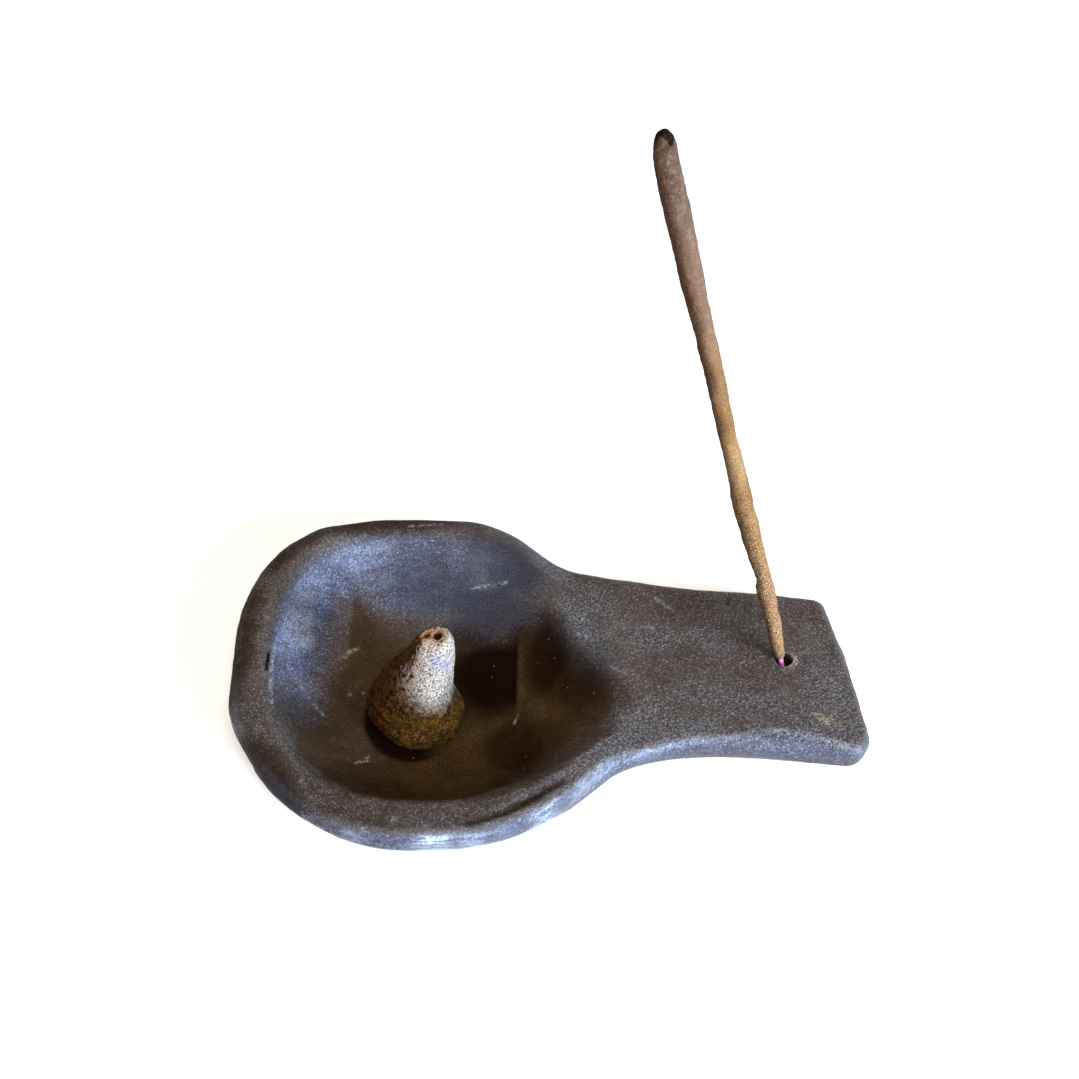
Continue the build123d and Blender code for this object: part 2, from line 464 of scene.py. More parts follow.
def paste_material():
    s = Shader("stick_incense")
    along = s.painted("along")
    fine = s.noise(0.22, 4.0, 0.7)
    medium = s.noise(0.9, 5.0, 0.65)
    broad = s.noise(5.0, 3.0, 0.5, stretch=(1.0, 1.0, 0.45))
    colour = s.mixed(s.step(broad, 0.35, 0.65), rgb(116, 80, 44), rgb(142, 108, 70))
    # Darker towards the tip, and paler towards the foot.
    top = s.calc("ADD", along, s.times(s.calc("SUBTRACT", broad, 0.5), 0.25))
    colour = s.over(colour, (92, 71, 58), s.step(top, 0.42, 0.90))
    colour = s.over(colour, (160, 124, 90), s.step(along, 0.35, 0.05, 0.0, 0.6))
    colour = s.over(colour, (56, 43, 36), s.step(top, 0.84, 0.97, 0.0, 0.7))
    colour = s.over(colour, (142, 110, 78), s.step(medium, 0.42, 0.70, 0.0, 0.35))
    # Painted shade: the stick's side towards the bowl, away from the light, is darker.
    painted_side_shade = s.step(broad, 0.3, 0.7, 1.0, 0.6)
    colour = s.over(colour, (58, 33, 18), s.painted("painted_side_shade"), painted_side_shade)
    # Powder grains and chips, clearest near the foot.
    speckled = s.step(along, 0.70, 0.12, 0.18, 1.0)
    colour = s.over(colour, (40, 24, 12), s.step(fine, 0.41, 0.52, 0.95, 0.0), speckled)
    colour = s.over(colour, (214, 176, 132), s.step(fine, 0.55, 0.66, 0.0, 0.8), speckled)
    chips = s.step(s.cells(0.55), 0.08, 0.16, 0.75, 0.0)
    colour = s.over(colour, (46, 28, 18), chips, speckled)
    char = s.calc("MULTIPLY", s.painted("char"), s.step(fine, 0.2, 0.7, 1.2, 0.8), True)
    char_colour = s.mixed(s.step(fine, 0.45, 0.62), rgb(8, 3, 1), rgb(24, 13, 7))
    colour = s.mixed(char, colour, char_colour)
    s.feed(s.surface, "Base Color", colour)
    s.feed(s.surface, "Roughness", s.step(medium, 0.3, 0.7, 0.78, 0.95))
    s.surface.inputs["Specular IOR Level"].default_value = POWDER_SPECULAR
    s.bumped([
        (medium, 0.14, 0.5),
        (s.cells(0.42, "SMOOTH_F1"), 0.10, 0.6),
        (fine, 0.09, 0.8),
    ])
    return s.material


def core_material():
    s = Shader("dyed_bamboo")
    fibre = s.noise(0.10, 4.0, 0.6, stretch=(1.0, 1.0, 0.06))
    stain = s.noise(1.2, 3.0, 0.5)
    colour = s.mixed(s.step(fibre, 0.35, 0.65), rgb(190, 62, 146), rgb(232, 132, 202))
    colour = s.over(colour, (240, 180, 218), s.step(stain, 0.45, 0.75, 0.0, 0.5))
    s.feed(s.surface, "Base Color", colour)
    s.feed(s.surface, "Roughness", s.step(fibre, 0.3, 0.7, 0.45, 0.7))
    s.bumped([(fibre, 0.06, 0.6)])
    return s.material


def cone_material():
    s = Shader("cone_incense")
    fine = s.noise(0.32, 5.0, 0.72)
    medium = s.noise(1.1, 5.0, 0.65)
    broad = s.noise(4.0, 3.0, 0.5)
    colour = s.mixed(s.step(broad, 0.35, 0.65), rgb(30, 14, 1), rgb(50, 27, 1))
    colour = s.over(colour, (94, 62, 16), s.step(medium, 0.42, 0.70, 0.0, 0.6))
    colour = s.over(colour, (106, 72, 22), s.step(fine, 0.54, 0.64, 0.0, 0.5))
    # Ash and painted light: it lies on the faces that turn to the window, greyer to the left and
    # brighter to the right as painted light, with a few bluish patches.
    ash_and_light = s.calc("ADD", s.painted("ash_and_light"), s.times(s.calc("SUBTRACT", medium, 0.5), 0.5), True)
    ash_and_light = s.times(s.step(ash_and_light, 0.10, 1.0), s.step(s.painted("ash_and_light"), 0.0, 0.15))
    bright = s.mixed(s.painted("painted_light_side"), rgb(110, 94, 80), rgb(186, 173, 160))
    ash_and_light_colour = s.mixed(s.step(fine, 0.36, 0.62), rgb(104, 90, 80), bright)
    ash_and_light_colour = s.over(ash_and_light_colour, (96, 104, 150), s.painted("tint"), 0.5)
    colour = s.mixed(ash_and_light, colour, ash_and_light_colour)
    colour = s.over(colour, (132, 84, 44), s.painted("tan"), s.step(fine, 0.35, 0.6, 0.4, 1.0))
    # Dark grains and chips, darker in the tip's pits, and painted shade in the folds and round the
    # foot.
    grains = s.mixed(ash_and_light, rgb(16, 8, 3), rgb(72, 56, 46))
    colour = s.mixed(s.step(fine, 0.41, 0.50, 0.95, 0.0), colour, grains)
    colour = s.mixed(s.step(s.cells(0.75), 0.12, 0.20, 0.8, 0.0), colour, grains)
    spotted = s.step(s.noise(1.3, 4.0, 0.6), 0.38, 0.45, 1.0, 0.0)
    colour = s.over(colour, (14, 9, 9), s.painted("spots"), spotted)
    colour = s.over(colour, (30, 14, 6), s.painted("dark_pits_and_shade"))
    s.feed(s.surface, "Base Color", colour)
    s.feed(s.surface, "Roughness", s.step(medium, 0.3, 0.7, 0.80, 0.96))
    s.surface.inputs["Specular IOR Level"].default_value = POWDER_SPECULAR
    s.bumped([
        (medium, 0.24, 0.6),
        (s.cells(0.6, "SMOOTH_F1"), 0.14, 0.6),
        (fine, 0.14, 0.9),
    ])
    return s.material


# --- dish ---
FLOOR = 4.4                       # top of the hollow's floor
HANDLE_TOP = 7.0
HOLE = (71.7, 4.5)
HOLE_RADIUS = 1.7
HOLE_FLOOR = 1.4

# The flat of the floor, seen from above: squarish, with a pointed far left corner.
floor_outline = [
    (-16.5, -9), (-17, 4), (-16.6, 21), (-13.5, 20), (-4, 15.5), (6, 12),
    (18, 10.5), (18.6, -9), (15, -18), (6, -23.5), (-4, -24), (-11, -19.5)]
# The edge where the inner wall meets the rim, at about 12.5 mm where the rim is level.
lip_outline = [
    (-30, 5), (-30, 15), (-28, 24), (-24, 29.5), (-18, 33), (-10, 34.5),
    (0, 34.5), (8, 33.5), (14, 31.5), (18, 29), (22, 26), (26.5, 18.5),
    (28.5, 13), (30.7, 5), (36, -3), (40, -8), (33, -15), (30, -20.5),
    (25, -25.5), (20, -27), (15, -30), (10, -31), (-3, -31.5), (-8, -30),
    (-15, -26), (-22, -20), (-25, -15), (-27, -10), (-29.5, -2)]
# Where soot and painted shade have browned the hollow.
soot_and_shade_outline = [
    (-23, -15), (-20, -6), (-15.7, 8), (-16.6, 24), (-12.6, 18.6), (-8.6, 14.6),
    (-4, 12), (8, 12), (18, 12), (24, 17), (29, 8), (34, 0),
    (38.5, -4.5), (35.5, -9), (29.5, -14.5), (25.5, -19.5), (19, -25), (10, -30),
    (-3, -31), (-8, -29.5), (-15, -25.5), (-21, -20)]
# Clouds of colour: middle, half length, half width, turn in degrees, strength.
# Painted shade on the rim and its outer sides, where they turn away from the light.
painted_rim_shade_clouds = [
    ((-35.8, 4), 26, 4.8, 92, 0.95), ((-31, 29.5), 17, 5, 48, 0.90),
    ((-8, 37.5), 24, 4.5, 2, 0.80), ((-27, -25), 14, 6.5, -50, 0.95),
    ((-8, -34.5), 13, 3.5, -14, 0.45), ((38, -3.5), 7, 5, -40, 0.55),
    ((61, 20.5), 24, 4.5, -8, 0.15), ((3, -33.5), 18, 3.5, 3, 0.30),
    ((-21, -9), 9, 6, -60, 0.35), ((-15, -27), 10, 4, -35, 0.40)]
# Painted shade: the dimmest parts of the hollow and of the outside.
shade_clouds = [
    ((14, 18.5), 16, 7.5, -25, 0.95), ((17, 27.5), 13, 7, -40, 0.97),
    ((2, 25), 17, 9, -5, 0.66), ((29, 1), 15, 10, -65, 0.75),
    ((11, 14.5), 9, 6, 0, 0.95),
    ((24.5, -14), 12, 6, 60, 0.50), ((-34, -12), 20, 4, 115, 0.35),
    ((-24, -30), 14, 4, -38, 0.55), ((-22, -9), 9, 6, -60, 0.38)]
# Paler patches with a clearer grain, painted as the sheen of light on the handle, neck and rims.
pale_and_sheen_clouds = [
    ((31, 12), 12, 5.5, -80, 0.60), ((46.5, 10.2), 6, 4, 0, 0.45),
    ((58.3, 10.8), 7, 4.5, 0, 0.45), ((78.5, -2), 10, 5, 95, 0.45),
    ((67, -7), 14, 4.5, -8, 0.40), ((43, -8.5), 9, 4.5, 15, 0.50),
    ((53, -4), 8, 4, 5, 0.35), ((10, -34.2), 16, 3, 6, 0.12),
    ((25, -26), 9, 3, 35, 0.45), ((-20, -21), 12, 3, -50, 0.10),
    ((25, 28.5), 9, 3, -42, 0.70), ((35, 20), 6, 6, 0, 0.40),
    ((74, -12.5), 15, 3.5, 0, 0.55), ((50, -12.5), 14, 4, 0, 0.60),
    ((37, -16), 9, 4, 30, 0.60)]
# Painted highlights: the brightest parts of the hollow's burnished walls.
painted_highlight_clouds = [
    ((-26, 10), 8, 4, 78, 0.80), ((-26, 22), 9, 4, 62, 0.50),
    ((-15, 30.5), 9, 3.5, 8, 0.50), ((-12, 26), 7, 3, -10, 0.25),
    ((5.5, 29), 3.5, 3, 80, 0.20), ((12.7, 29.3), 5, 1.6, -10, 0.20)]
# Painted highlights: the brightest streaks of the near outer wall.
painted_satin_highlight_clouds = [
    ((5, -36), 6, 3, 5, 1.00), ((14, -34.5), 6, 3, 15, 0.30),
    ((22.5, -30.8), 4.5, 2.6, 28, 1.00), ((11, -36.3), 4, 2, 8, 0.60),
    ((32, -24), 6.5, 3, 42, 0.30), ((36.5, -20.5), 7, 3, 28, 0.22),
    ((44, -17), 8, 3, 14, 0.45), ((56, -14.5), 16, 3, 0, 0.20),
    ((-9, -36.5), 3, 2.5, 0, 0.20)]
# The darkest patches of the floor.
dark_floor_clouds = [
    ((18, -14), 12, 7, 80, 0.72), ((25, 7), 14, 5, 82, 0.90),
    ((31, -1), 9, 7, -50, 0.50), ((-1, -16), 15, 6, -12, 0.15)]
# Where a finger pressed the clay: place, width and depth.
presses = [
    ((-24, 22, 9), 8, 0.45), ((-13, 26.5, 8), 6.5, 0.45),
    ((1, 27, 8), 6, 0.35), ((12, 24, 7.5), 6, 0.35),
    ((-25.5, 8, 9), 6.5, 0.40), ((-23, -6, 8.5), 7, 0.35),
    ((-14, -21, 8), 6.5, 0.35), ((27, 9, 7), 4.5, 0.35),
    ((2, -27.5, 9), 7, 0.30), ((19, -21, 8), 6, 0.30),
    ((-30.5, -20, 12.5), 6, 0.40), ((-19, -31, 12.5), 6, 0.45),
    ((48, 6, 7), 9, 0.30), ((60, -9, 7), 7, 0.25)]
# The crack in the inner edge, and the pale line that carries on from it.
crack_line = [(-29.75, 2.1), (-29.60, 0.7), (-29.55, -0.9), (-29.35, -2.4)]
crack_trail = [(-29.2, 5.5), (-28.9, 1.8), (-28.6, -2), (-27.9, -6.5), (-26.9, -10.6)]
# Where the near wall meets the floor.
near_edge_line = [(-21, -19.5), (-14, -25), (-7, -29), (4, -30.5), (14, -28.5)]
# The crease that runs up the wall from the floor's far left corner.
corner_crease = [(-18.6, 25), (-17.6, 20), (-16.8, 15), (-16.1, 9.5)]
# A fold of clay along the near rim, on the handle's side.
fold_line = [
    (8, -36), (12.4, -35), (17, -33.2), (21.3, -30.6), (25.9, -27.7), (29.5, -24.8)]


def worn_slope(points):
    """How far down the worn slope along the handle's near edge: 0 at its top, 1 at the side."""
    x, y = points[:, 0], points[:, 1]
    edge = -14.8 - 0.07 * (x - 58)
    width = 3.4 * smooth(52, 68, x) * smooth(86, 72, x) + 0.01
    return np.clip(1 - (y - edge) / width, 0, 1) * smooth(0.1, 0.8, width)


def sculpt_dish():
    piece = remeshed("clay_dish", "dish", 0.5,
                     plug=(*HOLE, HOLE_RADIUS + 0.4, 0.5, HANDLE_TOP))
    mesh = piece.data
    points = get_points(mesh)
    for _ in range(2):
        points += 0.5 * (neighbour_mean(mesh, points) - points)
    set_points(mesh, points)
    normals = get_normals(mesh)
    above = smooth(0.6, 2.5, points[:, 2])              # the underside stays flat
    hollow = smooth(0.35, 0.6, normals[:, 2]) * (outside(points, lip_outline) < -0.5)

    # The floor's flat runs right into its far left corner, with a crease at the walls' feet.
    beyond = outside(points, floor_outline)
    foot = FLOOR + 0.30 * np.maximum(beyond, 0) + 0.02 * np.maximum(beyond, 0) ** 2
    drop = np.minimum(foot - points[:, 2], 0)
    corner = smooth(-2.0, 6.0, points[:, 1]) * smooth(9.0, 2.0, points[:, 0])
    points[:, 2] += drop * hollow * corner * 0.8

    # The floor's edge on the handle's side is a low ridge, and then a shallow groove.
    x, y, z = points.T
    ridge = smooth(17.8, 18.9, x) * smooth(25.0, 20.5, x)
    groove = smooth(22.0, 25.0, x) * smooth(29.5, 26.5, x)
    reach = smooth(-17.0, -10.0, y) * smooth(15.0, 10.0, y) * (z < 8)
    points[:, 2] += (0.38 * ridge - 0.30 * groove) * reach * hollow

    gap, along = to_line(points, corner_crease)
    fade = ends(along, 0.25, 0.7) * hollow
    points -= normals * (0.22 * hump(gap, 0.7) * fade)[:, None]

    for place, width, depth in presses:
        gap = np.linalg.norm(points - place, axis=1)
        points -= normals * (depth * hump(gap, width) ** 2 * above)[:, None]

    # The fold is a thin groove.
    gap, along = to_line(points, fold_line)
    fade = ends(along, 0.15, 0.8) * smooth(6, 8, z) * (normals[:, 1] < 0.3)
    gap += 0.25 * lumps(points, 3.0, 41)
    points -= normals * (0.42 * hump(gap, 0.60) * fade)[:, None]

    # The rim stands more upright where it meets the handle, and the handle's edge is worn down.
    upright = hump(x - 34.5, 6.5) * smooth(3.5, 8.0, z) * smooth(-11.0, -18.0, y)
    points[:, 1] += 2.0 * upright
    points[:, 2] -= 1.5 * worn_slope(points) * smooth(2.0, 6.5, z)

    # The trail of the crack is a fine raised line.
    gap, along = to_line(points, crack_trail)
    trail = hump(gap, 0.6) * ends(along, 0.1, 0.85) * (z > 9)
    points += normals * (0.12 * trail)[:, None]

    # The clay stands up round the hole, more on the side that the tool left last.
    gap = np.hypot(x - HOLE[0], y - HOLE[1])
    side = 0.5 + 0.5 * np.cos(np.arctan2(y - HOLE[1], x - HOLE[0]) + 0.5)
    rise = hump(gap - 1.9, 0.55) * (0.06 + 0.20 * side) * (z > 6)

    # Hand-pressed unevenness, from broad to small. The underside only ever draws in.
    uneven = (0.24 * lumps(points, 13.0, 3) + 0.13 * lumps(points, 6.0, 4)
              + 0.06 * lumps(points, (4.0, 1.8, 1.8), 5) + 0.035 * lumps(points, 1.2, 6))
    uneven *= above * smooth(1.5, 4.0, gap)
    under = 0.5 * (lumps(points, 5.0, 7) - 1) * 0.12 * smooth(-0.5, -0.9, normals[:, 2])
    points += normals * (uneven + rise + under)[:, None]
    set_points(mesh, kept_in_box(points, "dish"))

    # The hole is bored after the surface is shaped.
    sides = 40
    turn = round_turn(sides)
    rows = [(HOLE_FLOOR, 0.55), (HOLE_FLOOR + 0.25, 0.9), (HOLE_FLOOR + 1.0, 1.0), (5.6, 1.0),
            (6.6, 1.02), (8.5, 1.10)]
    bore = [
        (HOLE[0] + HOLE_RADIUS * wide * (1 + 0.03 * math.sin(3 * t + 1)) * math.cos(t),
         HOLE[1] + HOLE_RADIUS * wide * (1 + 0.03 * math.sin(2 * t)) * math.sin(t), height)
        for height, wide in rows for t in turn]
    cut(piece, bore, rings(len(rows), sides))

    # The crack: a thin ragged cut that narrows to both ends and towards its floor.
    blade = []
    stations = 25
    marks = np.linspace(0, 1, len(crack_line))
    for t in np.linspace(0, 1, stations):
        middle, across = (float(np.interp(t, marks, line)) for line in zip(*crack_line))
        middle += 0.07 * math.sin(17 * t)
        opening = (4 * t * (1 - t)) ** 0.5
        half = 0.02 + 0.30 * opening * (1 - 0.35 * t) * (1 + 0.30 * math.sin(31 * t))
        blade += [(middle + side * half * taper, across, height)
                  for side, taper, height in ((-1, 1.0, 14.0), (1, 1.0, 14.0),
                                              (1, 0.4, 11.9 - 1.4 * opening),
                                              (-1, 0.4, 11.9 - 1.4 * opening))]
    cut(piece, blade, rings(stations, 4))
    return piece


def clouded(points, clouds, wander):
    """The strongest of several soft oval clouds at each point, seen from above."""
    x, y = points[:, 0], points[:, 1]
    total = np.zeros(len(points))
    for (cx, cy), half_length, half_width, turn, strength in clouds:
        c, s = math.cos(math.radians(turn)), math.sin(math.radians(turn))
        u, v = (x - cx) * c + (y - cy) * s, (y - cy) * c - (x - cx) * s
        gap = np.hypot(u / half_length, v / half_width) + 0.15 * wander
        total = np.maximum(total, strength * smooth(1.15, 0.35, gap))
    return total


def marked(points, marks, reach):
    """1 on thin marks: each is a path seen from above, a width, and a height within reach."""
    total = np.zeros(len(points))
    for path, width, height in marks:
        gap, _ = to_line(points, path)
        total = np.maximum(total, hump(gap, width) * (np.abs(points[:, 2] - height) < reach))
    return total


def paint_dish(piece):
    """Stores what the clay material reads."""
    mesh = piece.data
    points, normals = get_points(mesh), get_normals(mesh)
    x, y, z = points.T
    inside = outside(points, lip_outline)
    beyond = outside(points, floor_outline)
    up = smooth(0.2, 0.6, normals[:, 2])
    within = smooth(0.5, -1.5, inside) * up

    wander = lumps(points, 7.0, 21) + 0.6 * lumps(points, 3.0, 22)
    painted_rim_shade, pale_and_sheen, painted_highlight, satin, shade = (
        clouded(points, clouds, wander)
        for clouds in (painted_rim_shade_clouds, pale_and_sheen_clouds, painted_highlight_clouds, painted_satin_highlight_clouds, shade_clouds))
    # The underside is bare clay, rubbed paler where it rests, and takes none of the rim's painted
    # shade.
    under = smooth(-0.4, -0.85, normals[:, 2])
    rubbed = under * (0.30 + 0.25 * lumps(points, 9.0, 25))
    paint(mesh, "shade", shade * (1 - under))

    # Painted cool sheen: the window's reflection lies on the far and left walls, thinning to the
    # right and downwards.
    far_wall = smooth(11.0, 20.0, y - 0.15 * x + 1.2 * wander) * smooth(40.0, -20.0, x)
    left_wall = smooth(-13.0, -24.0, x + 1.2 * wander) * smooth(-14.0, 10.0, y)
    wall = np.maximum(0.80 * far_wall, 1.2 * left_wall) * smooth(-1.0, 7.0, beyond + wander)
    painted_cool_sheen = wall * within * (0.9 + 0.2 * lumps(points, 6.0, 23)) * (1 - 0.75 * painted_rim_shade)
    # Painted shade in the fold's crease, stored with the rim's painted shade.
    gap, along = to_line(points, fold_line)
    fold = hump(gap + 0.2 * wander, 0.8) * ends(along, 0.15, 0.8)
    paint(mesh, "painted_rim_shade", np.maximum(painted_rim_shade, 0.95 * fold * (z > 7)) * (1 - under))
    paint(mesh, "pale_and_sheen", np.maximum(pale_and_sheen * smooth(4.0, 6.0, z), rubbed))
    paint(mesh, "painted_highlight", painted_highlight * within)
    # The film of soot and painted shade has a crisp edge at the corner's crease and the near
    # wall's foot.
    gap = np.minimum(to_line(points, corner_crease)[0], to_line(points, near_edge_line)[0])
    far = smooth(1.5, 9.0, gap)
    soft = 0.8 + 4.4 * far
    film_and_shade = smooth(1, -1, (outside(points, soot_and_shade_outline) + (0.4 + 0.9 * far) * wander) / soft) * up
    film_and_shade *= 1 - 0.25 * smooth(2.0, -12.0, x)
    paint(mesh, "soot_and_shade", film_and_shade)

    # A painted contact shadow darkens the floor round the cone's foot, most on the near left.
    foot_x, foot_y, _ = np.mean(node_box("incense_cone"), axis=0)
    away = np.hypot(x - foot_x, y - foot_y)
    toward = smooth(-0.2, 0.9, -(0.75 * (x - foot_x) + 0.66 * (y - foot_y)) / away)
    ring = smooth(11.0, 9.7, away + 0.15 * wander) * (0.20 + toward) * (z < 7)
    # The floor is darkest between the cone and the ridge, with a straight edge there.
    dark_floor_and_shadow = clouded(points, dark_floor_clouds, wander)
    beside = smooth(18.9, 18.2, x + 0.2 * wander) * (x > 2)
    spot = np.hypot((x - 14.0) / 12.0, (y - 2.0) / 13.0) + 0.06 * wander
    dark_floor_and_shadow = np.maximum.reduce([dark_floor_and_shadow, beside * smooth(1.15, 0.45, spot), ring])
    paint(mesh, "dark_floor_and_shadow", dark_floor_and_shadow * smooth(0.1, 0.9, film_and_shade))

    # Outer walls and the near rim's edge are smoother, and carry painted light from the window:
    # duller to the left, with painted shade low down and on faces turned down.
    side = smooth(0.55, 0.1, np.abs(normals[:, 2])) * smooth(0.1, -0.3, normals[:, 1])
    near_edge = smooth(0.85, 0.45, normals[:, 2]) * smooth(0.0, -0.4, normals[:, 1]) * (z > 3)
    hole_gap = np.hypot(x - HOLE[0], y - HOLE[1])
    slope = smooth(0.02, 0.30, worn_slope(points) + 0.05 * wander) * (z > 3)
    shine = np.maximum.reduce([side, near_edge, 0.9 * slope]) * (inside > 1.0) * (hole_gap > 3)
    paint(mesh, "sheen", np.maximum(shine, painted_cool_sheen))
    # Painted light on the outer walls, stored with the painted cool sheen.
    lit = shine * (0.10 + 0.65 * smooth(-26.0, 2.0, x)) * (1 - 0.20 * smooth(45.0, 75.0, x))
    lit *= 0.35 + 0.65 * smooth(1.5, 5.0, z)
    turned_down = smooth(0.22, -0.35, normals[:, 2] + 0.10 * wander) * smooth(44.0, 34.0, x)
    lit *= 1 - 0.62 * turned_down
    paint(mesh, "painted_cool_sheen", np.maximum(painted_cool_sheen, lit))
    belt = smooth(4.5, 7.0, z) * smooth(12.8, 11.8, z + 0.3 * wander) * smooth(1.0, 2.5, inside)
    facing = smooth(0.97, 0.78, normals[:, 2]) * smooth(0.2, -0.2, normals[:, 1])
    paint(mesh, "satin", satin * belt * facing)

    bulge = ((points - neighbour_mean(mesh, points)) * normals).sum(axis=1)
    for _ in range(3):
        bulge = 0.5 * bulge + 0.5 * neighbour_mean(mesh, bulge[:, None])[:, 0]
    paint(mesh, "worn", smooth(0.006, 0.03, bulge) * (z > 3) * smooth(0.5, 2.5, np.abs(inside)))

    scuffs = [
        ([(-16.4, 7.4), (-15.9, 8.5), (-14.4, 9.3)], 0.42, 5.5),
        ([(-11.2, -18.1), (-10, -17.6), (-9.2, -16.6)], 0.26, 5.5),
        ([(-10, -17.6), (-8.9, -17.5)], 0.2, 5.5),
        ([(76.2, -8.6), (78, -10.6)], 0.55, 7.4), ([(78.6, -9.4), (79.6, -11)], 0.4, 7.4),
        ([(17.2, -11.4), (18.3, -8.6), (18.9, -7)], 0.16, 6),
        ([(15, -12.6), (16.2, -11.4)], 0.30, 6)]
    paint(mesh, "scuff", marked(points, scuffs, 1.6))

    scratches = [
        (crack_trail, 0.28, 12), ([(-5, 36.2), (2, 36.6)], 0.25, 12.8),
        ([(30, 11), (33.5, 10)], 0.18, 7), ([(44, 13.5), (47.5, 12.2)], 0.20, 7),
        ([(36.5, 3), (40, 1.2)], 0.18, 7), ([(9, 24), (16, 24.8)], 0.25, 8),
        ([(66, -11.8), (75.8, -13.8), (83, -16)], 0.40, 6.8),
        ([(47.1, 21), (50.5, 17.9)], 0.22, 7),
        ([(-26.4, 1.2), (-22, -4), (-18.6, -7.5)], 0.20, 7)]
    scratch = 0.7 * marked(points, scratches, 2.2)
    flecks = [
        (-14.4, -2, 0.3), (-12, -1.8, 0.3), (-19, -27, 0.3), (-16.9, -23.6, 0.3),
        (-2.1, -34.7, 0.45), (3.2, -36.1, 0.35), (-7.1, -36.2, 0.3), (-17.4, 29.4, 0.3),
        (56, 7.6, 0.3), (76.1, 6.2, 0.3), (44.8, 21.6, 0.3)]
    for fx, fy, width in flecks:
        scratch = np.maximum(scratch, 0.9 * hump(np.hypot(x - fx, y - fy), width))
    paint(mesh, "scratch", scratch * (normals[:, 2] > 0))

    side = smooth(0.1, 0.9, np.cos(np.arctan2(y - HOLE[1], x - HOLE[0]) + 0.4))
    paint(mesh, "dye", 1.3 * hump(hole_gap - 2.4, 0.6) * side * (z > 6.6))
    # Painted shade in the crack and down the hole.
    gap, _ = to_line(points, crack_line)
    bore = smooth(2.1, 1.8, hole_gap) * smooth(7.0, 6.2, z) * (z > 0.9)
    paint(mesh, "crack_and_hole_shade", np.maximum(np.exp(-(gap / 0.30) ** 4) * (z > 10), 0.8 * bore))


def matt_faces(piece):
    """Gives the dull material to faces with soot or the rim's painted shade, scattered at the edge
    so it fades.
    """
    mesh = piece.data
    film_and_shade = np.zeros(len(mesh.vertices), np.float32)
    for name in ("soot_and_shade", "painted_rim_shade"):
        coat = np.zeros_like(film_and_shade)
        mesh.attributes[name].data.foreach_get("value", coat)
        film_and_shade = np.maximum(film_and_shade, coat)
    corners = np.zeros(len(mesh.loops), np.int32)
    mesh.loops.foreach_get("vertex_index", corners)
    starts = np.zeros(len(mesh.polygons), np.int32)
    mesh.polygons.foreach_get("loop_start", starts)
    share = film_and_shade[corners[starts]]
    chance = np.random.default_rng(31).uniform(0.05, 0.65, len(share))
    mesh.polygons.foreach_set("material_index", (share > chance).astype(np.int32))
    mesh.update()


# --- stick ---
pull = next(j for j in frame["joints"] if j["name"] == "stick_pull")
ALONG = np.array(pull["axis"], float)
ALONG /= np.linalg.norm(ALONG)
ACROSS = np.array((0.0, 1.0, 0.0))
OUT = np.cross(ACROSS, ALONG)        # points to +X, square to the stick
core_points = get_points(frame["nodes"]["stick_core"].data)
core_span = core_points @ ALONG
low_end = core_points[core_span < core_span.min() + 0.05]
STICK_FOOT = (low_end.min(0) + low_end.max(0)) / 2
CORE_LENGTH = core_span.max() - core_span.min()


def traced(node, spans, sides):
    """Points on the outside of a CAD node round the stick's line, one row for each span."""
    reach, thin = 5.0, 0.3      # where rays start, and the radius where one misses
    source = frame["nodes"][node].data
    tree = BVHTree.FromPolygons([v.co for v in source.vertices],
                                [p.vertices for p in source.polygons])
    rows = []
    for span in spans:
        middle = STICK_FOOT + span * ALONG
        for turn in round_turn(sides):
            way = math.cos(turn) * OUT + math.sin(turn) * ACROSS
            hit = tree.ray_cast(Vector((middle + reach * way) * MM), Vector(-way), reach * MM)[0]
            rows.append(np.array(hit) / MM if hit else middle + thin * way)
    return np.array(rows)


